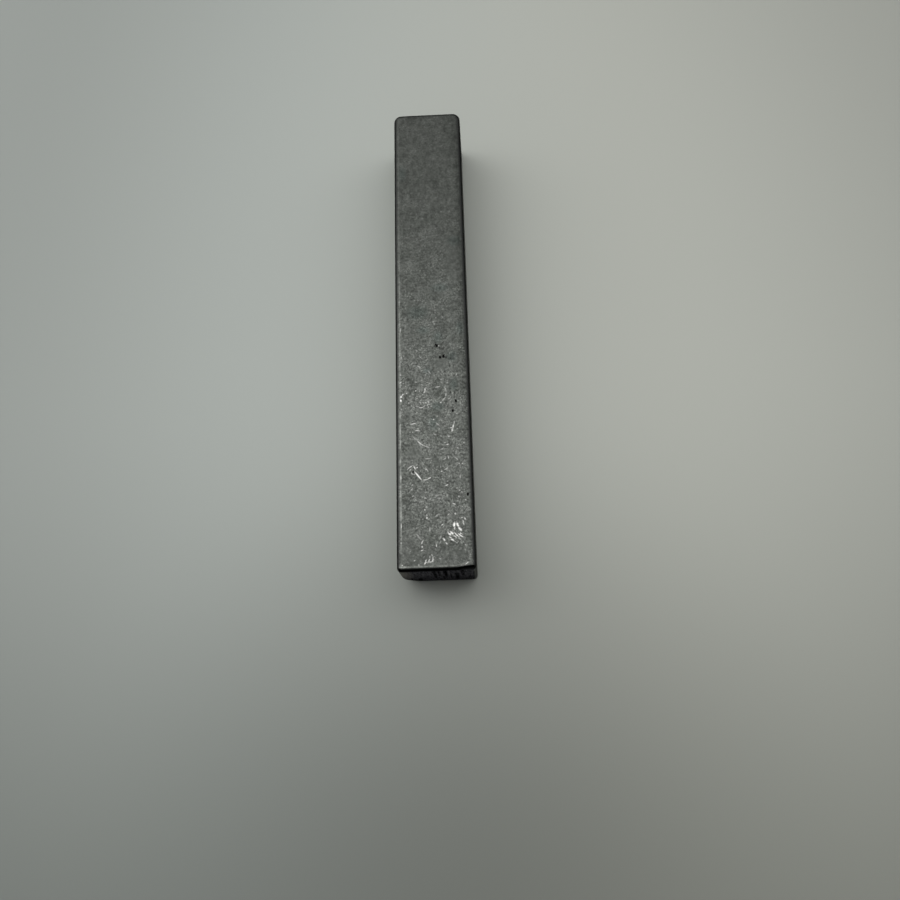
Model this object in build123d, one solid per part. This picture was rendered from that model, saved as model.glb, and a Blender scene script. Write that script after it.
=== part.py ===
from build123d import *
import os

os.makedirs("parts", exist_ok=True)

# A square-ended parallel key, cut from drawn bar. All lengths are in millimetres.
# The seat face lies on Z = 0, the length runs along Y and the two working flanks face -X and +X.

# Driving dimensions of the bar.
key_width = 8.0
key_height = 7.0
key_length = 56.0

# Edge breaks. The lip runs all round the top face and all round the seat face.
lip_radius = 0.4
front_corner_radius = 0.5
rear_corner_radius = 0.9

# The top edge of the front end is worn rounder towards the +X flank.
wear_radius = 0.85
wear_reach = 1.9


def key_bar():
    """The plain bar, standing on its seat face."""
    return Box(key_width, key_length, key_height, align=(Align.CENTER, Align.CENTER, Align.MIN))


def round_upright_corners(bar):
    """The upright corners are softer on the rear end than on the front end."""
    uprights = bar.edges().filter_by(Axis.Z).sort_by(Axis.Y)
    bar = fillet(uprights[2:], rear_corner_radius)
    uprights = bar.edges().filter_by(Axis.Z).sort_by(Axis.Y)
    return fillet(uprights[:2], front_corner_radius)


def round_lips(bar):
    """One rolled lip round the outline of the top face, and one round the seat face."""
    faces = bar.faces().sort_by(Axis.Z)
    return fillet(faces[0].edges() + faces[-1].edges(), lip_radius)


def lip_waste(radius, x):
    """What a lip of this radius takes off the top edge of the front end, as a section at x.

    The section reaches past the bar by the radius, so that its cut leaves no skin.
    """
    section = Plane(origin=(x, -key_length / 2, key_height), x_dir=(0, 1, 0), z_dir=(1, 0, 0))
    outline = Polyline((radius, 0), (radius, radius), (-radius, radius), (-radius, -radius), (0, -radius))
    lip = RadiusArc((0, -radius), (radius, 0), radius)
    return section * make_face([outline, lip])


def wear_front_corner(bar):
    """The lip grows from its drawn radius to the worn one over the last of the width."""
    start = key_width / 2 - wear_reach
    return bar - loft([lip_waste(lip_radius, start), lip_waste(wear_radius, key_width / 2)], ruled=True)


parallel_key = wear_front_corner(round_lips(round_upright_corners(key_bar())))
export_step(parallel_key, "parts/parallel_key.step")
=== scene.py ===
import math
import random

import bmesh
import bpy
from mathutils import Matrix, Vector
from mathutils.kdtree import KDTree


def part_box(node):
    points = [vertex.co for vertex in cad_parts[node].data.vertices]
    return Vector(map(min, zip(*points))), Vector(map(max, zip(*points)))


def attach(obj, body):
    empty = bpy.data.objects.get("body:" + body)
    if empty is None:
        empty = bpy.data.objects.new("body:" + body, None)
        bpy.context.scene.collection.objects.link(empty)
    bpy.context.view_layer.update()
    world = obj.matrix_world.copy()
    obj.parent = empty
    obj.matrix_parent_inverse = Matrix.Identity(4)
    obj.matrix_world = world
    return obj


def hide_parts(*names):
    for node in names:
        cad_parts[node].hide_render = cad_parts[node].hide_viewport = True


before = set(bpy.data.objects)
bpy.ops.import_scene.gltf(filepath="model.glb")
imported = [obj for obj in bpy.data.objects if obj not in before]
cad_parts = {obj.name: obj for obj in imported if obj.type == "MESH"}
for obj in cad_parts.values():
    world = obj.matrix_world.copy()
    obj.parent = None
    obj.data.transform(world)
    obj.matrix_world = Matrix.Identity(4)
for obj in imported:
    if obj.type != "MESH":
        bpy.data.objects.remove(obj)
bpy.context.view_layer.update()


# The bar. A parallel key is a length of bright-drawn carbon steel of near-square section,
# sheared off square and tumbled until no edge of it is sharp. Each upright corner and then
# the whole outline of the top and of the seat face is rounded; the rear corners are softest.
MM = 0.001
low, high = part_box("parallel_key")
lip_radius = 0.4 * MM
front_corner_radius = 0.5 * MM
rear_corner_radius = 0.9 * MM
hair = 0.001 * MM


def round_off(bar, edges, radius):
    bmesh.ops.bevel(
        bar, geom=edges, offset=radius, offset_type="OFFSET", segments=6,
        profile=0.5, affect="EDGES", material=-1, clamp_overlap=False,
    )


def all_at(edge, axis, place):
    return all(abs(vert.co[axis] - place) < hair for vert in edge.verts)


def is_upright(edge):
    return abs(edge.verts[0].co.z - edge.verts[1].co.z) > hair


key = bmesh.new()
bmesh.ops.create_cube(key, size=1.0)
bmesh.ops.scale(key, vec=high - low, verts=key.verts)
bmesh.ops.translate(key, vec=(low + high) / 2, verts=key.verts)
for end, radius in ((low.y, front_corner_radius), (high.y, rear_corner_radius)):
    corners = [edge for edge in key.edges if all_at(edge, 1, end) and is_upright(edge)]
    round_off(key, corners, radius)
outlines = [edge for edge in key.edges if all_at(edge, 2, low.z) or all_at(edge, 2, high.z)]
round_off(key, outlines, lip_radius)


# Rows and columns are scored over the bar, close enough to carry its nicks, and closer still beside the
# lips, where the painted highlight runs.
top_step = 0.2 * MM
upright_step = 0.5 * MM
beside_lip = [lip_radius + gap * MM for gap in (0.05, 0.1, 0.15)]


def score(bar, axis, places):
    normal = Vector((0, 0, 0))
    normal[axis] = 1
    for place in places:
        geometry = [*bar.verts, *bar.edges, *bar.faces]
        bmesh.ops.bisect_plane(bar, geom=geometry, dist=hair, plane_co=normal * place, plane_no=normal)


def spread(start, stop, step):
    count = round((stop - start) / step)
    return [start + (stop - start) * i / count for i in range(1, count)]


score(key, 1, spread(low.y, high.y, top_step) + [low.y + gap for gap in beside_lip])
score(key, 0, spread(low.x, high.x, top_step) + [low.x + gap for gap in beside_lip])
score(key, 2, spread(low.z, high.z, upright_step))


def refine(bar, chosen):
    """Halves the mesh spacing of the chosen faces."""
    edges = {edge for face in bar.faces if chosen(face) for edge in face.edges}
    bmesh.ops.subdivide_edges(bar, edges=list(edges), cuts=1, use_grid_fill=True)


# The worn front corner. Over the last 1.9 mm of its width, towards the +X flank, the top edge
# of the front end has been knocked and rubbed to about twice the radius of the rest.
wear_radius = 0.85 * MM
wear_reach = 1.9 * MM

# Round a rounding the mesh is made finer, to a little past its radius.
past_rounding = 1.3


def by_worn_corner(face):
    centre = face.calc_center_median()
    reach = past_rounding * wear_radius
    return centre.x > high.x - wear_reach and centre.y < low.y + reach and centre.z > high.z - reach


def top_front_radius(x):
    worn = max(0.0, (x - high.x + wear_reach) / wear_reach)
    return lip_radius + (wear_radius - lip_radius) * worn


# Shearing has drawn the bottom edge of the front end in as well, and most at its -X corner,
# which is eased inwards along its diagonal.
drawn_in_radius = 0.9 * MM
corner_reach = 3.0 * MM
corner_ease = 6 * corner_reach


def by_bottom_front(face):
    centre = face.calc_center_median()
    reach = past_rounding * drawn_in_radius
    return centre.y < low.y + reach and centre.z < low.z + reach


refine(key, by_worn_corner)
refine(key, by_bottom_front)
for vert in key.verts:
    at_top = vert.co.z > (low.z + high.z) / 2
    radius = top_front_radius(vert.co.x) if at_top else drawn_in_radius
    middle = Vector((vert.co.x, low.y + radius, high.z - radius if at_top else low.z + radius))
    out = vert.co - middle
    in_corner = out.y < 0 and (out.z > 0 if at_top else out.z < 0)
    if in_corner and radius > lip_radius and out.length > radius:
        vert.co = middle + out.normalized() * radius
    inside = sum(vert.co - low)
    if inside < corner_reach:
        vert.co += Vector((1, 1, 1)) * ((corner_reach - inside) ** 2 / corner_ease)


# Marks on the top face. The tumbling barrel and the hammer that drove the key pressed them in,
# and each shows bright new metal. A row is the two ends of a mark, in millimetres on the face,
# and how far its middle stands to the left of the straight line between them.
gouges = [
    (-2.08, -17.5, -1.33, -18.5, 0), (-0.6, -18.32, -0.38, -18.24, 0), (-3.38, -8.95, -3.45, -9.25, 0),
    (-3.46, -9.38, -3.43, -9.7, 0), (-1.18, -27.29, -0.99, -26.8, 0), (-0.37, -26.98, -0.33, -26.74, 0),
    (0.75, -24.64, 0.93, -24.97, 0), (1.78, -24.33, 2.1, -24.72, 0), (1.89, -24.06, 2.3, -24.6, 0),
    (2.1, -24.3, 2.5, -24.85, 0), (2.23, -24.19, 2.78, -24.67, 0),
]
# One hard blow has left a burst of broad bright strokes.
burst = [
    (1.97, -23.03, 1.95, -23.6, -0.05), (2.18, -23.08, 2.36, -23.6, 0), (2.33, -23.55, 2.65, -24.0, 0),
    (1.23, -24.03, 1.54, -24.43, 0), (1.52, -23.97, 1.8, -24.36, 0), (1.39, -24.52, 1.87, -25.06, 0),
    (2.5, -24.18, 2.78, -24.38, 0), (2.25, -24.56, 2.42, -24.74, 0),
]
cuts = [
    # Beside the left edge.
    (-3.43, -0.92, -3.45, -1.5, 0), (-3.47, -6.48, -3.43, -6.62, 0), (-3.36, -7.33, -3.54, -7.55, 0),
    (-3.15, -8.75, -3.33, -9.0, 0), (-1.75, -14.08, -0.95, -14.77, -0.08),
    (-3.44, -27.24, -3.38, -27.38, 0),
    # Across the middle.
    (0.2, -0.25, 0.26, -0.42, 0), (0.78, -3.22, 0.78, -3.34, 0), (0.91, -7.24, 0.98, -7.3, 0),
    (0.3, -8.16, 0.78, -8.1, 0), (-0.82, -8.18, -0.8, -8.57, 0), (-0.8, -8.57, -0.96, -8.77, 0),
    (-1.83, -8.42, -1.78, -8.56, 0), (-1.46, -8.56, -1.36, -8.5, 0), (-2.84, -8.8, -2.75, -8.68, 0),
    (-1.72, -9.32, -1.64, -9.4, 0), (1.72, -9.58, 1.79, -9.5, 0), (0.8, -10.0, 0.93, -9.86, 0),
    (-1.5, -10.42, -1.05, -10.4, -0.03), (-0.53, -10.45, -0.43, -10.37, 0),
    (0.05, -11.78, 0.05, -11.92, 0), (-2.45, -12.35, -1.8, -12.2, 0.04),
    (1.75, -12.87, 2.05, -12.83, 0), (2.18, -12.45, 2.03, -13.0, 0), (2.02, -12.95, 1.96, -13.35, 0),
    (-1.95, -12.97, -1.42, -13.08, 0), (1.63, -13.72, 1.63, -13.9, 0),
    # The hook and the marks round it.
    (-2.8, -17.3, -2.21, -16.86, 0.06), (-2.16, -16.88, -1.95, -17.33, 0),
    (-1.85, -17.2, -1.72, -17.02, 0), (-0.9, -17.28, -0.77, -17.44, 0),
    (-1.15, -18.51, -0.73, -18.44, 0), (-0.73, -18.44, -0.35, -18.22, 0),
    (0.77, -17.56, 0.78, -17.68, 0), (2.6, -16.8, 2.65, -16.88, 0), (2.91, -16.84, 3.0, -16.88, 0),
    # Towards the front end.
    (2.53, -19.68, 2.6, -19.78, 0), (2.74, -19.9, 2.92, -19.96, 0), (2.49, -20.3, 2.5, -20.45, 0),
    (3.18, -20.7, 3.2, -20.85, 0), (1.8, -21.05, 2.12, -21.25, 0), (-1.06, -21.6, -1.06, -21.76, 0),
    (2.02, -22.08, 2.08, -22.3, 0), (-0.86, -22.42, -0.86, -22.62, 0), (2.69, -22.6, 2.78, -22.65, 0),
    (2.95, -22.58, 3.13, -22.9, 0), (2.79, -22.86, 2.92, -23.42, 0), (0.6, -23.36, 0.81, -23.18, 0),
    (1.33, -14.73, 1.58, -14.68, 0), (1.13, -19.22, 1.42, -19.05, 0), (1.96, -23.5, 1.95, -23.87, 0),
    (-1.23, -24.75, -1.47, -25.22, 0), (1.01, -25.1, 1.18, -25.37, 0), (0.05, -25.2, 0.07, -25.57, 0),
    (-1.4, -25.38, -1.39, -25.65, 0), (-1.52, -25.91, -1.27, -25.8, 0),
    (-2.23, -26.88, -2.13, -26.86, 0), (-0.76, -27.02, -0.66, -26.7, 0),
    (-0.29, -26.96, -0.33, -26.55, 0), (-1.12, -27.09, -0.25, -27.03, 0),
    (2.78, -27.47, 3.2, -27.15, -0.03),
]
nicks = [
    # Beside the left edge.
    (-3.38, -4.3, -3.3, -4.75, 0), (-3.12, -4.22, -3.08, -4.38, 0), (-3.4, -10.48, -3.38, -10.62, 0),
    (-3.42, -11.2, -3.42, -11.32, 0), (-3.5, -17.85, -3.5, -18.4, 0), (-3.5, -22.95, -3.5, -23.6, 0),
    (-3.53, -24.55, -3.53, -24.7, 0), (-3.52, -24.93, -3.54, -25.1, 0),
    # Across the middle.
    (-2.8, 5.2, -2.6, 5.22, 0), (1.15, 0.4, 1.4, 0.05, 0), (0.3, -0.5, 0.4, -0.7, 0),
    (-1.64, -5.54, -1.23, -5.9, 0.04), (-1.4, -4.4, -1.05, -4.75, 0), (-0.48, -6.12, -0.12, -6.62, 0),
    (2.68, -6.6, 2.56, -6.95, 0), (1.26, -8.15, 1.47, -8.8, 0.04), (1.47, -8.8, 1.4, -9.3, 0),
    (1.38, -9.35, 1.0, -9.8, 0), (-0.82, -8.18, -0.55, -8.2, 0), (-1.58, -8.9, -1.48, -8.9, 0),
    (-1.45, -9.72, -1.3, -9.97, 0), (-1.3, -9.8, -1.28, -10.0, 0), (-2.43, -9.0, -2.41, -9.2, 0),
    (-2.6, -9.75, -2.57, -9.95, 0), (-0.98, -9.82, -0.98, -10.0, 0), (-0.76, -9.78, -0.77, -9.98, 0),
    (-0.4, -9.65, -0.45, -10.05, 0), (-1.05, -10.4, -0.85, -10.22, 0), (-0.28, -10.36, -0.1, -10.4, 0),
    (-1.92, -7.44, -1.6, -7.5, 0), (0.28, -12.22, 0.72, -12.62, 0), (2.25, -12.08, 2.2, -12.5, 0),
    (0.0, -13.43, 0.3, -13.6, 0), (-2.21, -13.65, -1.75, -14.12, 0),
    (-1.0, -14.75, -0.32, -14.98, -0.03), (1.13, -14.45, 1.27, -14.5, 0),
    (0.7, -15.25, 1.05, -15.12, 0), (2.43, -15.05, 2.63, -15.22, 0), (3.16, -14.5, 3.22, -14.7, 0),
    (-1.0, -16.2, -0.35, -16.18, 0), (0.93, -16.39, 1.28, -16.12, -0.03),
    (1.47, -15.9, 1.55, -16.35, 0), (2.13, -16.12, 2.52, -16.52, 0.05), (3.08, -16.6, 3.13, -16.7, 0),
    # Round the hook.
    (-2.57, -17.45, -2.43, -17.23, 0), (-2.4, -17.55, -2.15, -17.9, -0.06),
    (-2.15, -17.9, -2.0, -17.8, 0), (-0.95, -17.1, -0.6, -17.65, 0), (0.67, -17.1, 0.7, -17.22, 0),
    (1.06, -17.48, 1.45, -17.27, 0), (2.68, -18.03, 2.68, -18.5, 0), (1.33, -18.77, 1.38, -18.66, 0),
    # Towards the front end.
    (-2.4, -19.1, -2.22, -18.86, 0), (-2.5, -19.55, -2.24, -19.33, 0), (-2.7, -19.82, -2.58, -19.72, 0),
    (-2.33, -20.27, -2.2, -20.1, 0), (-2.2, -20.56, -2.05, -20.43, 0), (0.06, -20.17, 0.39, -20.17, 0),
    (0.18, -20.5, 0.72, -20.49, 0), (-1.09, -20.3, -0.83, -20.53, 0), (-0.52, -20.4, -0.5, -20.64, 0),
    (2.23, -19.54, 2.38, -19.45, 0), (-0.92, -21.25, -0.78, -21.5, 0), (2.83, -21.42, 2.83, -21.54, 0),
    (1.27, -22.35, 1.48, -22.12, 0), (-0.86, -22.1, -0.86, -22.4, 0),
    (0.01, -22.46, 0.47, -22.13, 0.04), (-0.58, -23.52, -0.57, -23.99, 0),
    (-2.0, -24.13, -1.48, -24.8, 0.04), (0.54, -24.4, 0.47, -24.75, 0), (0.48, -24.93, 0.41, -25.24, 0),
    (1.87, -25.05, 2.2, -25.25, 0), (2.5, -24.85, 2.62, -24.98, 0), (2.92, -25.36, 3.09, -25.54, 0),
    (0.29, -26.68, 0.54, -26.86, 0), (-0.66, -26.7, -0.6, -26.4, 0), (-0.33, -26.55, -0.45, -26.27, 0),
    (-1.75, -27.19, -1.76, -27.44, 0), (2.35, -27.48, 2.8, -27.46, 0),
]
# Dints are the smallest marks: one blow of a grain in the barrel.
dints = [
    (0.56, 0.16), (0.48, 0.8), (-1.88, -1.22), (-1.86, -3.05), (-0.84, -3.2), (-2.35, -3.42),
    (-1.7, -3.7), (1.85, -6.7), (0.22, -6.82), (1.66, -7.4), (1.0, -7.6), (1.62, -7.68), (-3.15, -7.52),
    (-1.16, -7.77), (-1.63, -8.33), (-1.16, -8.52), (-0.26, -8.29), (2.15, -8.92), (-1.08, -8.95),
    (-1.7, -9.14), (-1.35, -9.13), (-2.62, -9.42), (-1.83, -9.5), (1.93, -9.35), (1.9, -9.75),
    (-3.2, -10.15), (1.45, -10.35), (2.5, -11.3), (0.45, -11.5), (-0.86, -11.55), (-1.35, -12.15),
    (-0.52, -12.35), (2.52, -12.99), (0.3, -13.15), (-2.47, -13.2), (0.8, -13.75), (-2.5, -13.9),
    (2.65, -14.78), (1.93, -15.2), (2.38, -15.5), (2.07, -15.45), (0.7, -15.74), (-0.26, -16.38),
    (-1.8, -16.8), (2.37, -17.0), (1.02, -17.78), (2.76, -19.5), (3.08, -19.67), (0.98, -20.2),
    (1.3, -20.23), (2.67, -20.67), (2.38, -20.81), (2.38, -21.5), (1.4, -21.85), (-1.27, -22.65),
    (-0.45, -22.81), (0.59, -22.99), (-1.06, -23.44), (-1.29, -23.53), (-1.91, -23.6), (2.16, -25.17),
    (2.54, -25.14), (2.78, -25.09), (2.95, -25.9), (-2.58, -25.91),
]

# Patches of small nicks: the middle of each, its half sizes, the heading of its nicks and how
# far they stray from it in degrees, and their count.
rng = random.Random(8756)
fine_nicks = []


def add_fine_nick(x, y, heading, length, half_width, depth):
    across, along = (0.5 * length * turn(math.radians(heading)) for turn in (math.cos, math.sin))
    bow = rng.uniform(-0.1, 0.1) * length
    fine_nicks.append(((x - across, y - along, x + across, y + along, bow), half_width, depth))


for x, y, reach_x, reach_y, heading, stray, count in (
    (-1.3, -9.2, 1.0, 1.3, -60, 60, 26),
    (-2.7, -9.3, 0.5, 1.2, -75, 25, 12),
    (1.7, -9.5, 0.7, 1.0, 45, 60, 12),
    (-2.4, -19.9, 0.35, 0.9, 48, 6, 10),
    (2.9, -19.9, 0.6, 1.0, -55, 60, 14),
    (2.9, -17.2, 0.5, 0.7, 20, 90, 12),
    (0.9, -23.8, 0.8, 0.9, 40, 25, 14),
    (1.4, -22.4, 1.4, 0.8, 45, 70, 16),
    (-0.9, -17.3, 0.8, 0.7, -50, 30, 10),
    (-0.6, -20.6, 1.4, 0.9, 20, 90, 18),
    (2.6, -21.4, 0.8, 0.9, -80, 60, 12),
    (-2.2, -13.3, 0.7, 0.8, -40, 60, 10),
    (0.5, -12.6, 1.0, 0.9, -50, 50, 12),
    (2.6, -15.6, 0.7, 0.9, -50, 60, 10),
    (0.1, -7.0, 1.4, 0.9, -55, 60, 12),
    (-1.8, -4.2, 1.2, 1.2, -50, 60, 10),
    (-0.6, -26.4, 1.2, 0.9, 20, 80, 10),
    (2.4, -24.5, 0.6, 0.6, -48, 12, 14),
):
    for _ in range(count):
        add_fine_nick(
            x + rng.uniform(-reach_x, reach_x), y + rng.uniform(-reach_y, reach_y),
            heading + rng.uniform(-stray, stray), rng.uniform(0.15, 0.45),
            rng.uniform(0.05, 0.07), rng.uniform(0.006, 0.013),
        )

# The finest nicks are scattered over the flat of the top, from the front lip to well past the
# middle, and grow closer towards the front end.
finest_count = 420
front_row = -27.2
scattered_length = 42.0
crowding = 2.2
for _ in range(finest_count):
    from_front = rng.random() ** crowding
    add_fine_nick(
        rng.uniform(-3.4, 3.4), front_row + scattered_length * from_front, rng.uniform(0, 180),
        rng.uniform(0.12, 0.45), rng.uniform(0.045, 0.065), rng.uniform(0.003, 0.010),
    )

# A slipped blow has left a faint curve round the worn corner.
fine_nicks.append(((3.25, -26.0, 3.22, -26.92, 0.2), 0.07, 0.009))


def ramp(value, start, stop):
    """Goes from 0 to 1 as the value goes from start to stop."""
    return min(1.0, max(0.0, (value - start) / (stop - start)))


point_gap = 0.04


def mark_points(start_x, start_y, end_x, end_y, bow, half_width, depth):
    """Points along a mark, each with its own half width and depth, which lessen at both ends."""
    start = Vector((start_x, start_y, 0.0))
    run = Vector((end_x, end_y, 0.0)) - start
    aside = Vector((-run.y, run.x, 0.0)).normalized()
    steps = max(3, round(run.length / point_gap))
    points = []
    for i in range(steps + 1):
        share = i / steps
        place = start + run * share + aside * bow * 4 * share * (1 - share)
        fade = math.sin(math.pi * (0.1 + 0.8 * share)) ** 0.6
        points.append((place * MM, half_width * fade * MM, depth * fade * MM))
    return points


# Each kind of mark has its half width and depth in millimetres. The blows were softer towards
# the rear, where the marks are fainter.
faintest = 0.6
dint_reach = 0.04
marks = []
for rows, half_width, depth in (
    (burst, 0.17, 0.038), (gouges, 0.12, 0.036), (cuts, 0.10, 0.028), (nicks, 0.085, 0.019),
):
    for row in rows:
        softness = faintest + (1 - faintest) * ramp(row[1], -1.0, -9.0)
        marks += mark_points(*row, half_width, depth * softness)
for x, y in dints:
    marks += mark_points(x - dint_reach, y + dint_reach, x + dint_reach, y - dint_reach, 0, 0.1, 0.015)
for row, half_width, depth in fine_nicks:
    marks += mark_points(*row, half_width, depth)
mark_tree = KDTree(len(marks))
for index, (place, _, _) in enumerate(marks):
    mark_tree.insert(place, index)
mark_tree.balance()

# Pits are old rust spots: round-bottomed holes that the tumbling didn't reach. Each row is the
# place of a pit's middle, its radius and its depth, in millimetres.
pits = [
    (0.57, -3.25, 0.16, 0.10), (0.46, -3.1, 0.10, 0.06), (0.88, -3.5, 0.13, 0.04),
    (1.25, -3.6, 0.2, 0.02), (0.92, -4.65, 0.16, 0.10), (1.3, -4.56, 0.17, 0.10),
    (1.36, -4.4, 0.09, 0.05), (1.56, -4.68, 0.11, 0.05), (1.8, -4.15, 0.08, 0.02),
    (1.95, -5.72, 0.17, 0.025), (2.38, -5.65, 0.12, 0.02), (1.95, -8.85, 0.11, 0.03),
    (1.72, -8.7, 0.12, 0.02), (2.4, -8.85, 0.10, 0.025), (2.5, -9.84, 0.14, 0.10),
    (2.12, -10.95, 0.14, 0.09), (-2.2, -17.58, 0.11, 0.06), (3.42, -20.2, 0.13, 0.08),
    (3.42, -20.28, 0.10, 0.08), (0.87, -15.08, 0.10, 0.02), (-0.7, -10.75, 0.14, 0.02),
    (-3.35, -14.8, 0.07, 0.03),
]


def on_top(place):
    return place.z > high.z - hair


def near_mark_or_pit(face, reach):
    centre = face.calc_center_median()
    if not on_top(centre):
        return False
    flat = Vector((centre.x, centre.y, 0.0))
    _, index, distance = mark_tree.find(flat)
    if distance < marks[index][1] + reach:
        return True
    return any(
        (flat - Vector((x * MM, y * MM, 0))).length < (radius * MM + reach) for x, y, radius, _ in pits
    )


for reach in (0.14 * MM, 0.05 * MM):
    refine(key, lambda face: near_mark_or_pit(face, reach))

# The tears of the sheared front end are upright grooves, painted black as shade in their hollows. Each row
# is a tear's place across the end, its half width, and how high it starts and ends, in millimetres.
tears = [
    (-2.0, 0.25, 0.6, 2.4), (-2.9, 0.1, 0.8, 2.6), (-0.3, 0.2, 2.6, 6.6), (0.15, 0.14, 3.4, 6.6),
    (0.5, 0.1, 1.2, 3.6), (0.82, 0.22, 3.0, 6.6), (1.32, 0.09, 1.8, 5.2), (1.95, 0.24, 1.6, 5.2),
    (2.6, 0.18, 3.8, 6.6), (3.3, 0.06, 0.9, 4.2),
]
tear_depth = 0.05 * MM
tear_fade = 0.4


def by_front_end(face):
    return face.normal.y < -0.99


refine(key, by_front_end)
refine(key, by_front_end)

# What the finish needs to know of each place is kept with the mesh, each from 0 to 1.
layers = {name: key.verts.layers.float.new(name) for name in (
    "calm",  # Fingered smooth.
    "bared",  # Bared to new metal by a mark.
    "pit",  # In a rust pit.
    "lip",  # On a rounded lip, darkened partly by handling and partly as painted shade.
    "sheared",  # On one of the two sheared ends.
    "painted_lip_shade",  # Painted shade on the front lip, standing in for the dark it mirrors.
    "edge_highlight",  # On the painted highlight beside the left and front lips.
    "stain",  # Stained by old oil.
    "scuff_highlight",  # Scuffed along the front lip, and painted pale there as a highlight.
    "flank",  # On one of the two flanks.
    "tear",  # In a tear of the front end.
)}

# Stains of old oil, each with its middle and its half sizes in millimetres.
stains = [
    (-3.1, 19.4, 0.6, 1.2), (2.9, 9.9, 0.9, 0.7), (1.1, 3.9, 1.1, 0.6), (-1.5, 0.9, 1.3, 0.9),
    (-0.9, -1.3, 0.8, 0.5), (0.7, -2.2, 0.6, 0.8), (3.2, -1.2, 0.5, 0.9), (2.2, -4.6, 0.6, 0.7),
    (-0.5, -6.2, 0.6, 0.4), (2.3, -7.9, 0.5, 0.8), (0.5, -10.4, 0.8, 0.6), (0.0, -12.3, 0.6, 0.9),
]

# Calm areas, where the key has been fingered smooth, given in the same way.
calm_areas = [
    (1.9, -26.4, 1.5, 1.2), (-2.8, -25.9, 0.9, 1.5), (0.0, -27.0, 3.6, 0.8), (2.6, 8.0, 1.1, 4.0),
    (1.0, -5.3, 0.9, 0.9), (-1.9, -15.6, 0.8, 0.8), (0.4, -16.6, 0.5, 0.5),
]


def in_spots(place, spots):
    """How deep in the nearest of the oval spots a place is: 0 past its rim, and 1 in its middle."""
    spans = (
        math.hypot((place.x / MM - x) / half_x, (place.y / MM - y) / half_y)
        for x, y, half_x, half_y in spots
    )
    return ramp(min(spans), 1.2, 0.4)


# Where the painted highlight beside the lips runs, and how wide it is.
edge_highlight_middle = 0.09 * MM
edge_highlight_reach = 0.12 * MM
# How much the flanks are darkened, as painted shade.
flank_shade = 0.1
key.normal_update()
for vert in key.verts:
    normal = vert.normal
    off_flat = math.degrees(math.acos(min(1.0, max(abs(part) for part in normal))))
    faces_an_end = abs(normal.y) > abs(normal.x)
    on_flank = ramp(abs(normal.x), 0.75, 0.97)
    vert[layers["flank"]] = on_flank
    vert[layers["sheared"]] = ramp(abs(normal.y), 0.80, 0.97)

    # The lips are darkened, partly by handling and partly as painted shade for the dark room and table
    # they mirror: those of the ends over most of their round, and those of the sides from just inside the
    # flat. The upright corners are darkened half as much, and the flanks a little, as painted shade.
    lip = ramp(off_flat, 4, 14) if faces_an_end else ramp(off_flat, 1, 24)
    if normal.z > 0.5 and not faces_an_end:
        lip = max(lip, ramp(abs(vert.co.x), high.x - 1.15 * lip_radius, high.x - 0.5 * lip_radius))
    lip *= ramp(abs(normal.z), -0.4, 0.4)
    vert[layers["lip"]] = max(lip, flank_shade * on_flank)

    # The front lip is scuffed along its top, and painted pale there as a highlight, and below that it is
    # painted black as shade. At the worn corner the pale part reaches further down and the painted shade
    # less far. The limits are in degrees.
    if normal.y < 0 and faces_an_end and normal.z > 0:
        tilt = math.degrees(math.acos(min(1.0, normal.z)))
        worn = ramp(vert.co.x, high.x - wear_reach, high.x)
        unshaded_until = 13 + 8 * worn
        lip_shade_until = 72 - 20 * ramp(worn, 0.0, 0.3)
        scuff_highlighted = ramp(tilt, 2, 8) * ramp(tilt, unshaded_until + 5, unshaded_until - 5)
        lip_shade = ramp(tilt, unshaded_until - 5, unshaded_until + 5)
        lip_shade *= ramp(tilt, lip_shade_until + 16, lip_shade_until - 17)
        vert[layers["painted_lip_shade"]] = min(lip_shade, ramp(off_flat, 4, 12))
        vert[layers["scuff_highlight"]] = (0.6 + 0.4 * worn) * scuff_highlighted
        vert[layers["lip"]] = min(vert[layers["lip"]], 1 - vert[layers["scuff_highlight"]])

    # A painted highlight runs beside the left lip, and a brighter one beside the front lip, standing in
    # for the glint along their edges.
    if normal.z > 0.9:
        from_left_lip = vert.co.x - low.x - lip_radius
        from_front_lip = vert.co.y - low.y - top_front_radius(vert.co.x)
        vert[layers["edge_highlight"]] = max(
            share * ramp(abs(gap - edge_highlight_middle), edge_highlight_reach, 0.0)
            for gap, share in ((from_left_lip, 0.6), (from_front_lip, 0.9))
        )
        vert[layers["stain"]] = in_spots(vert.co, stains)
        vert[layers["calm"]] = in_spots(vert.co, calm_areas)

    # The tears are sunk into the front end.
    if normal.y < -0.9:
        up = vert.co.z / MM
        for x, half_width, start, stop in tears:
            in_tear = ramp(abs(vert.co.x / MM - x), half_width, 0.6 * half_width)
            in_tear *= ramp(up, start - tear_fade, start + tear_fade) * ramp(up, stop + tear_fade, stop)
            vert.co.y += tear_depth * in_tear * ramp(off_flat, 8, 0)
            vert[layers["tear"]] = max(vert[layers["tear"]], in_tear)

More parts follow.
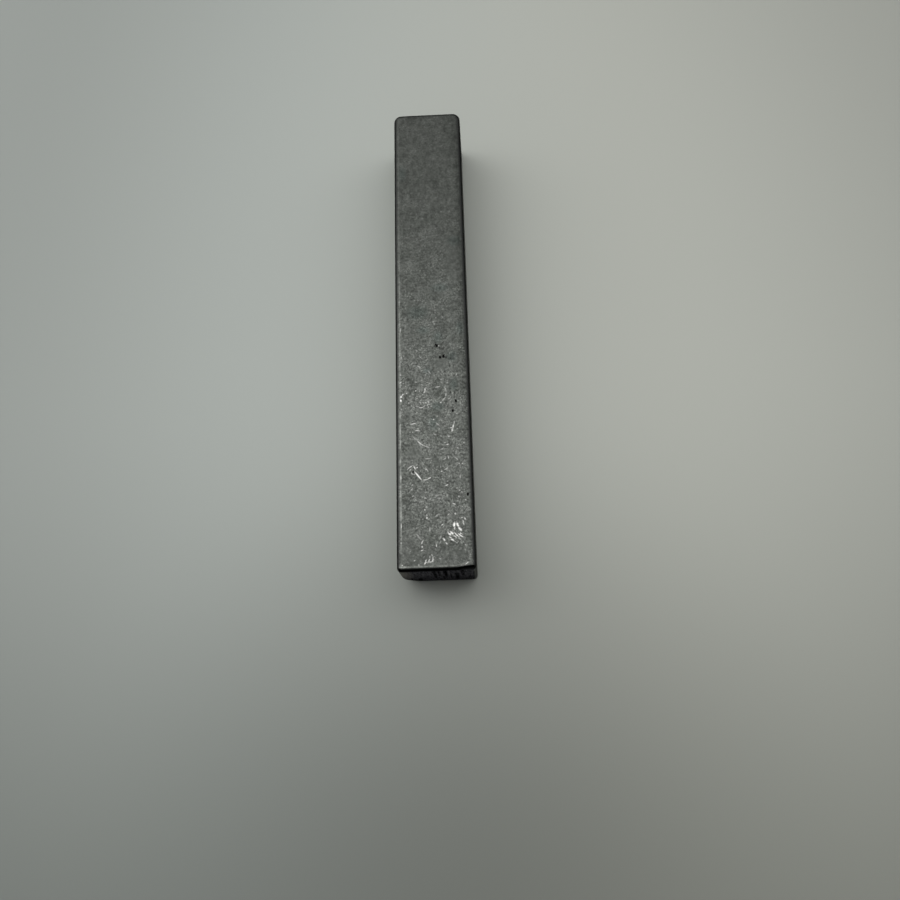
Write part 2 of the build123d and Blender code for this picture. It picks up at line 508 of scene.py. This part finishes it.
# The marks and the pits are sunk into the top. A mark as deep as bright_depth is bared bright,
# and a pit as deep as dark_depth is dark, while shallower ones are fainter.
bright_depth = 0.034 * MM
dark_depth = 0.06 * MM
for vert in key.verts:
    if not on_top(vert.co):
        continue
    flat = Vector((vert.co.x, vert.co.y, 0.0))
    _, index, distance = mark_tree.find(flat)
    _, half_width, depth = marks[index]
    if distance < half_width:
        shape = math.cos(0.5 * math.pi * distance / half_width) ** 2
        vert.co.z -= depth * shape
        vert[layers["bared"]] = min(1.0, 1.5 * shape) * min(1.0, depth / bright_depth) ** 1.6
    for x, y, radius, depth in pits:
        distance = (flat - Vector((x * MM, y * MM, 0))).length / (radius * MM)
        if distance < 1:
            hollow = 1 - distance**2
            vert.co.z -= depth * MM * hollow
            darkness = min(1.0, 1.6 * hollow) * min(1.0, depth * MM / dark_depth)
            vert[layers["pit"]] = max(vert[layers["pit"]], darkness)

# The rear end was sheared a hair out of square.
out_of_square = 0.13 * MM
for vert in key.verts:
    vert.co.y -= out_of_square * ramp(vert.co.x, low.x, high.x) * ramp(vert.co.y, 0.7 * high.y, high.y)

# The tumbling also let the flat droop a hair along its two long edges and at the rear.
droop_depth = 0.012 * MM
droop_reach = 0.5 * MM
for vert in key.verts:
    inside = min(high.x - lip_radius - abs(vert.co.x), high.y - lip_radius - vert.co.y)
    height_on_lip = ramp(vert.co.z, high.z - lip_radius, high.z - 0.1 * MM)
    vert.co.z -= droop_depth * ramp(inside, droop_reach, 0.0) ** 2 * height_on_lip

key_mesh = bpy.data.meshes.new("key_bar")
bmesh.ops.recalc_face_normals(key, faces=key.faces)
for face in key.faces:
    face.smooth = True
key.to_mesh(key_mesh)
key.free()
key_bar = bpy.data.objects.new("key_bar", key_mesh)
bpy.context.scene.collection.objects.link(key_bar)
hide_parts("parallel_key")
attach(key_bar, "root")


# The finish. Tumbled bright-drawn steel: a bare satin metal, dull because its faces are covered with tiny
# overlapping dents and rubbed lines, pale where new metal is bared, and dark on the lips, partly from
# handling and partly as painted shade. The sheared ends are rougher and much darker, with painted shade at
# their feet and in their tears.
def linear(code):
    """An sRGB hex colour as linear RGBA."""
    parts = [int(code[i : i + 2], 16) / 255 for i in (1, 3, 5)]
    return [c / 12.92 if c <= 0.04045 else ((c + 0.055) / 1.055) ** 2.4 for c in parts] + [1.0]


def add_node(tree, kind, inputs=None, **settings):
    """Adds a node. Each input is a value, or another node's output that is linked in."""
    new = tree.nodes.new(kind)
    for name, value in settings.items():
        setattr(new, name, value)
    for name, value in (inputs or {}).items():
        if isinstance(value, bpy.types.NodeSocket):
            tree.links.new(value, new.inputs[name])
        else:
            new.inputs[name].default_value = value
    return new


steel = bpy.data.materials.new("tumbled_steel")
steel.use_nodes = True
tree = steel.node_tree
tree.nodes.clear()
place = add_node(tree, "ShaderNodeTexCoord").outputs["Object"]
split = add_node(tree, "ShaderNodeSeparateXYZ", {"Vector": place})
sources = {"across": split.outputs["X"], "along": split.outputs["Y"], "height": split.outputs["Z"]}
for name in layers:
    sources[name] = add_node(tree, "ShaderNodeAttribute", attribute_name=name).outputs["Fac"]

# The patterns of the surface: the size of their features in mm across, along and up the key,
# their heading in degrees, and how detailed, how rough and how wavy they are. Real rubbed lines
# are 0.02 to 0.05 mm wide, and they are drawn 0.1 mm wide here so that they show.
line_headings = (22, 67, 118, 158)
for pattern, size, heading, detail, roughness, distortion in (
    ("patches", (1.5, 1.5, 1.5), 0, 2.0, 0.6, 0.0),
    ("dents", (0.25, 0.25, 0.25), 0, 2.0, 0.6, 0.0),
    *((f"lines_{heading}", (0.5, 0.1, 0.2), heading, 1.0, 0.5, 0.4) for heading in line_headings),
    ("specks", (0.17, 0.17, 0.17), 0, 0.0, 0.5, 0.0),
    ("drifts", (0.4, 0.55, 0.4), 0, 2.0, 0.5, 0.0),
    ("film", (1.8, 2.4, 1.8), 0, 3.0, 0.65, 0.0),
    ("streaks", (0.14, 3.0, 1.0), 0, 1.0, 0.5, 0.0),
    ("runs", (0.6, 0.9, 0.6), 0, 2.0, 0.5, 0.0),
    ("ridges", (0.18, 4.0, 1.1), 0, 3.0, 0.5, 0.0),
    ("clots", (0.35, 4.0, 0.9), 0, 2.0, 0.5, 0.0),
):
    sized = add_node(tree, "ShaderNodeMapping", {
        "Vector": place, "Scale": [part * MM for part in size], "Rotation": (0, 0, math.radians(heading)),
    }, vector_type="TEXTURE").outputs["Vector"]
    sources[pattern] = add_node(tree, "ShaderNodeTexNoise", {
        "Vector": sized, "Scale": 1.0, "Detail": detail, "Roughness": roughness, "Distortion": distortion,
    }).outputs["Fac"]
sources["lines"] = 0.0
for heading in line_headings:
    sources["lines"] = add_node(tree, "ShaderNodeMath", {
        0: sources[f"lines_{heading}"], 1: sources["lines"],
    }, operation="MAXIMUM").outputs["Value"]

# How much each thing counts at a place. A share is the product of its rows, and a row that comes
# twice counts as its square. A row takes one source from its start and stop to its first and
# last, and a share may itself be a source.
for share, source, start, stop, first, last in (
    # The dents and lines show most where the key was handled and hammered, towards the front
    # end, and there they lie in patches a millimetre or two across.
    ("wear", "along", 0.6 * high.y, -0.3 * high.y, 0.48, 1.0),
    ("wear", "calm", 0, 1, 1.0, 0.35),
    ("knocks", "wear", 0, 1, 0.0, 1.0),
    ("knocks", "wear", 0, 1, 0.0, 1.0),
    ("knocks", "patches", 0.38, 0.62, 0.2, 1.0),
    ("rubbed", "lines", 0.64, 0.78, 0.0, 0.6),
    ("rubbed", "knocks", 0, 1, 0.0, 1.0),
    ("flecks", "specks", 0.60, 0.74, 0.0, 0.5),
    ("flecks", "knocks", 0, 1, 0.0, 1.0),
    # The middle tone of the steel is a little paler towards the front end, a painted sheen standing in for
    # the brighter reflection there.
    ("middle_tone", "along", 0.3 * high.y, -0.5 * high.y, 0.488, 0.54),
    # All but the front of the right edge has been fingered, and is duller in lengthwise streaks.
    ("fingered", "across", high.x - 1.1 * MM, high.x - 0.5 * MM, 0.0, 1.0),
    ("fingered", "along", -0.7 * high.y, -0.2 * high.y, 0.0, 1.0),
    ("fingered", "streaks", 0.35, 0.6, 0.5, 1.0),
    # The flanks are painted a little paler than the top, as painted light where the room leaves them dim.
    ("painted_pale_flank", "flank", 0, 1, 0.0, 0.16),
    # The painted highlight beside the lips is broken into runs a millimetre or two long.
    ("edge_highlighted", "edge_highlight", 0, 1, 0.0, 1.0),
    ("edge_highlighted", "runs", 0.35, 0.70, 0.15, 1.0),
    ("edge_highlighted", "wear", 0, 1, 0.0, 1.0),
    ("edge_highlighted", "wear", 0, 1, 0.0, 1.0),
    # A sheared end is painted darker towards its foot, as shade, and is paler high on its -X side.
    ("shaded_foot", "height", 0.7 * high.z, 0.1 * high.z, 0.0, 0.85),
    ("paler_side", "across", 0.6 * low.x, 0.95 * low.x, 0.0, 0.7),
    ("paler_side", "height", 0.3 * high.z, 0.7 * high.z, 0.3, 1.0),
    # The tears are painted dark as shade in their hollows, more in some places than in others.
    ("shaded_tears", "tear", 0, 1, 0.0, 1.0),
    ("shaded_tears", "clots", 0.38, 0.56, 0.45, 1.0),
    # Between the top and the painted shade, the front lip is scuffed dull, and painted pale as a
    # highlight.
    ("scuff_highlighted", "scuff_highlight", 0, 1, 0.0, 0.6),
    # The roughness of the satin is least on what stands highest between the dents.
    ("satin", "dents", 0.3, 0.7, 0.36, 0.26),
):
    row = add_node(tree, "ShaderNodeMapRange", {
        "Value": sources[source], "From Min": start, "From Max": stop, "To Min": first, "To Max": last,
    }).outputs["Result"]
    if share in sources:
        row = add_node(tree, "ShaderNodeMath", {
            0: sources[share], 1: row,
        }, operation="MULTIPLY").outputs["Value"]
    sources[share] = row

# The dents stand out most where the wear is most: they are centred on zero, times the wear, and
# added to the middle tone.
off_middle = add_node(tree, "ShaderNodeMath", {
    0: sources["dents"], 1: -0.5,
}, operation="ADD").outputs["Value"]
sources["dented"] = add_node(tree, "ShaderNodeMath", {
    0: off_middle, 1: sources["wear"], 2: sources["middle_tone"],
}, operation="MULTIPLY_ADD").outputs["Value"]

# The tones that a pattern runs through, from dark to light. The drifts are dents that lie
# closer, half a millimetre across, and the film is old oil, which varies over 0.4 to 2 mm.
paints = {}
for paint, source, dark_at, dark, light_at, light in (
    ("steel", "dented", 0.26, "#434542", 0.74, "#828580"),
    ("drifts", "drifts", 0.3, "#cccccc", 0.7, "#ffffff"),
    ("film", "film", 0.30, "#dddfdd", 0.70, "#ffffff"),
    ("torn", "ridges", 0.38, "#444448", 0.66, "#807f83"),
):
    tones = add_node(tree, "ShaderNodeValToRGB", {"Fac": sources[source]})
    dark_end, light_end = tones.color_ramp.elements
    dark_end.position = dark_at
    dark_end.color = linear(dark)
    light_end.position = light_at
    light_end.color = linear(light)
    paints[paint] = tones.outputs["Color"]

# At a glancing angle a clean metal mirrors everything. The glance colour dims that: on the lips, the
# flanks and the front lip it is painted shade, standing in for the dark room and shaded table they mirror,
# and on the sheared ends it follows their tones.
paints["glance"] = linear("#ffffff")

# The coats, each laid over one paint where its share says. A coat is a colour or another paint. Several
# coats are painted light or shade, as noted with them.
sources["everywhere"] = 1.0
for paint, share, coat, blend in (
    # Painted shade at the foot of a sheared end.
    ("torn", "shaded_foot", "#1f1f22", "MIX"),
    ("torn", "paler_side", "#aca8a1", "MIX"),
    # Painted shade in the tears.
    ("torn", "shaded_tears", "#08080a", "MIX"),
    ("steel", "rubbed", "#c6c9c3", "MIX"),
    ("steel", "flecks", "#c6c9c3", "MIX"),
    ("steel", "everywhere", "drifts", "MULTIPLY"),
    ("steel", "everywhere", "film", "MULTIPLY"),
    ("steel", "stain", "#eef5f5", "MULTIPLY"),
    ("steel", "fingered", "#cfd0cf", "MULTIPLY"),
    # The flanks, painted paler as light.
    ("steel", "painted_pale_flank", "#c6c9c3", "MIX"),
    # The lips, darkened partly by handling and partly as painted shade.
    ("steel", "lip", "#373837", "MIX"),
    # The painted highlight beside the lips.
    ("steel", "edge_highlighted", "#c6c9c3", "MIX"),
    ("steel", "sheared", "torn", "MIX"),
    # The front lip, painted black as shade.
    ("steel", "painted_lip_shade", "#060607", "MIX"),
    # The scuffed top of the front lip, painted pale as a highlight.
    ("steel", "scuff_highlighted", "#a9aca6", "MIX"),
    ("steel", "bared", "#f4f4f0", "MIX"),
    ("steel", "pit", "#151515", "MIX"),
    # The glance dimmed as painted shade on the lips, the flanks and the front lip.
    ("glance", "lip", "#373837", "MIX"),
    ("glance", "flank", "#4c4d4c", "MIX"),
    ("glance", "sheared", "torn", "MIX"),
    ("glance", "painted_lip_shade", "#060607", "MIX"),
):
    paints[paint] = add_node(tree, "ShaderNodeMix", {
        "Factor": sources[share], 6: paints[paint], 7: paints[coat] if coat in paints else linear(coat),
    }, data_type="RGBA", blend_type=blend).outputs[2]

# Torn and scuffed places are duller than the satin of the rest, and an end's relief is its ridges.
dull = 0.65
relief_depth = 0.012 * MM
sheen = sources["satin"]
for rough in ("scuff_highlight", "sheared"):
    sheen = add_node(tree, "ShaderNodeMix", {
        "Factor": sources[rough], "A": sheen, "B": dull,
    }).outputs[0]
height = add_node(tree, "ShaderNodeMix", {
    "Factor": sources["sheared"], "A": sources["dents"], "B": sources["ridges"],
}).outputs[0]
relief = add_node(tree, "ShaderNodeBump", {
    "Strength": 1.0, "Distance": relief_depth, "Height": height,
}).outputs["Normal"]
shader = add_node(tree, "ShaderNodeBsdfPrincipled", {
    "Base Color": paints["steel"], "Metallic": 1.0, "Roughness": sheen, "Normal": relief,
    "Specular Tint": paints["glance"],
})
add_node(tree, "ShaderNodeOutputMaterial", {"Surface": shader.outputs["BSDF"]})
key_mesh.materials.append(steel)


# The table. A pale grey matt laminate top, a good deal wider than the view. Whoever leans over
# the front end shades it there in an oval, the light falls off to the sides, and the camera adds
# its own shade.
floor = bmesh.new()
bmesh.ops.create_grid(floor, x_segments=1, y_segments=1, size=1.0)
floor_mesh = bpy.data.meshes.new("table_top")
floor.to_mesh(floor_mesh)
floor.free()
table_top = bpy.data.objects.new("table_top", floor_mesh)
bpy.context.scene.collection.objects.link(table_top)
laminate = bpy.data.materials.new("matt_laminate")
laminate.use_nodes = True
floor_tree = laminate.node_tree
floor_place = add_node(floor_tree, "ShaderNodeTexCoord").outputs["Object"]

# Each shade goes from its inner colour to its outer one between two distances from its middle,
# measured in metres over a table that is stretched.
table_colour = linear("#ffffff")
for stretch, middle, near, far, inner, outer in (
    # The laminate's own grey, and the shade of whoever leans over.
    ((0.35, 1.0, 0.0), (0.0, -0.09, 0.0), 0.01, 0.09, "#9a9d96", "#dcdfd8"),
    # The falling off to the sides.
    ((1.0, 0.5, 0.0), (0.008, 0.0, 0.0), 0.02, 0.07, "#ffffff", "#e1e1e1"),
    # The shade of the camera.
    ((1.0, 1.0, 0.0), (0.002, -0.052, 0.0), 0.0, 0.045, "#d8d8d8", "#ffffff"),
    # The light is a little cooler on the left, and warmer on the right.
    ((1.0, 0.0, 0.0), (-1.0, 0.0, 0.0), 0.97, 1.03, "#fafeff", "#fffffc"),
):
    stretched = add_node(floor_tree, "ShaderNodeVectorMath", {
        0: floor_place, 1: stretch,
    }, operation="MULTIPLY").outputs["Vector"]
    away = add_node(floor_tree, "ShaderNodeVectorMath", {
        0: stretched, 1: middle,
    }, operation="DISTANCE").outputs["Value"]
    outwards = add_node(floor_tree, "ShaderNodeMapRange", {
        "Value": away, "From Min": near, "From Max": far,
    }, interpolation_type="SMOOTHSTEP").outputs["Result"]
    shade = add_node(floor_tree, "ShaderNodeMix", {
        "Factor": outwards, 6: linear(inner), 7: linear(outer),
    }, data_type="RGBA").outputs[2]
    table_colour = add_node(floor_tree, "ShaderNodeMix", {
        "Factor": 1.0, 6: table_colour, 7: shade,
    }, data_type="RGBA", blend_type="MULTIPLY").outputs[2]
shader = floor_tree.nodes["Principled BSDF"]
floor_tree.links.new(table_colour, shader.inputs["Base Color"])
shader.inputs["Roughness"].default_value = 0.7
shader.inputs["Specular IOR Level"].default_value = 0.3
floor_mesh.materials.append(laminate)


# The light. One large softbox hangs on the left of the key and a little behind it. The room is
# grey: lightest overhead and on the left, dim at the back and dark where the camera is held, with
# one plain grey for its walls up to about 20 degrees.
softbox_light = bpy.data.lights.new("softbox", "AREA")
softbox_light.shape = "SQUARE"
softbox_light.size = 0.25
softbox_light.energy = 0.05
softbox = bpy.data.objects.new("softbox", softbox_light)
softbox.location = Vector((-0.20, 0.08, 0.20))
softbox.rotation_euler = (-softbox.location).to_track_quat("-Z", "Y").to_euler()
bpy.context.scene.collection.objects.link(softbox)

room = bpy.data.worlds.new("grey_room")
room.use_nodes = True
room_tree = room.node_tree
direction = add_node(room_tree, "ShaderNodeTexCoord").outputs["Generated"]
split = add_node(room_tree, "ShaderNodeSeparateXYZ", {"Vector": direction})
walls_to_ceiling = add_node(room_tree, "ShaderNodeValToRGB", {"Fac": split.outputs["Z"]})
walls_to_ceiling.color_ramp.interpolation = "EASE"
wall_end, ceiling_end = walls_to_ceiling.color_ramp.elements
wall_end.position = 0.1
wall_end.color = (1.15, 1.15, 1.15, 1)
ceiling_end.position = 1.0
ceiling_end.color = (1.0, 1.0, 1.0, 1)

# Each row fades the room's brightness along one axis, and walls_to_ceiling does so upwards.
brightness = 1.66
for axis, start, stop, first, last in (
    ("X", -0.7, 0.7, 1.2, 0.8),
    ("Y", -0.16, 0.36, 0.06, 1.0),
    ("Y", 0.25, 0.75, 1.0, 0.25),
):
    share = add_node(room_tree, "ShaderNodeMapRange", {
        "Value": split.outputs[axis], "From Min": start, "From Max": stop, "To Min": first, "To Max": last,
    }).outputs["Result"]
    brightness = add_node(room_tree, "ShaderNodeMath", {
        0: share, 1: brightness,
    }, operation="MULTIPLY").outputs["Value"]
room_tree.links.new(walls_to_ceiling.outputs["Color"], room_tree.nodes["Background"].inputs["Color"])
wall_brightness = 0.36
above_walls = add_node(room_tree, "ShaderNodeMapRange", {
    "Value": split.outputs["Z"], "From Min": 0.15, "From Max": 0.4,
}, interpolation_type="SMOOTHSTEP").outputs["Result"]
brightness = add_node(room_tree, "ShaderNodeMix", {
    "Factor": above_walls, "A": wall_brightness, "B": brightness,
}).outputs[0]
room_tree.links.new(brightness, room_tree.nodes["Background"].inputs["Strength"])
bpy.context.scene.world = room


# The camera. It is held close above the front end and looks down along the key, with the
# lens of a small wide camera.
camera_data = bpy.data.cameras.new("camera")
camera_data.sensor_width = 36.0
camera_data.lens = 31.6
camera_data.clip_start = 0.01
camera = bpy.data.objects.new("camera", camera_data)
camera.location = Vector((5.395, -41.172, 85.63)) * MM
camera.rotation_euler = [math.radians(turn) for turn in (18.083, 3.191, -1.546)]
bpy.context.scene.collection.objects.link(camera)
bpy.context.scene.camera = camera

bpy.context.scene.view_settings.view_transform = "Standard"
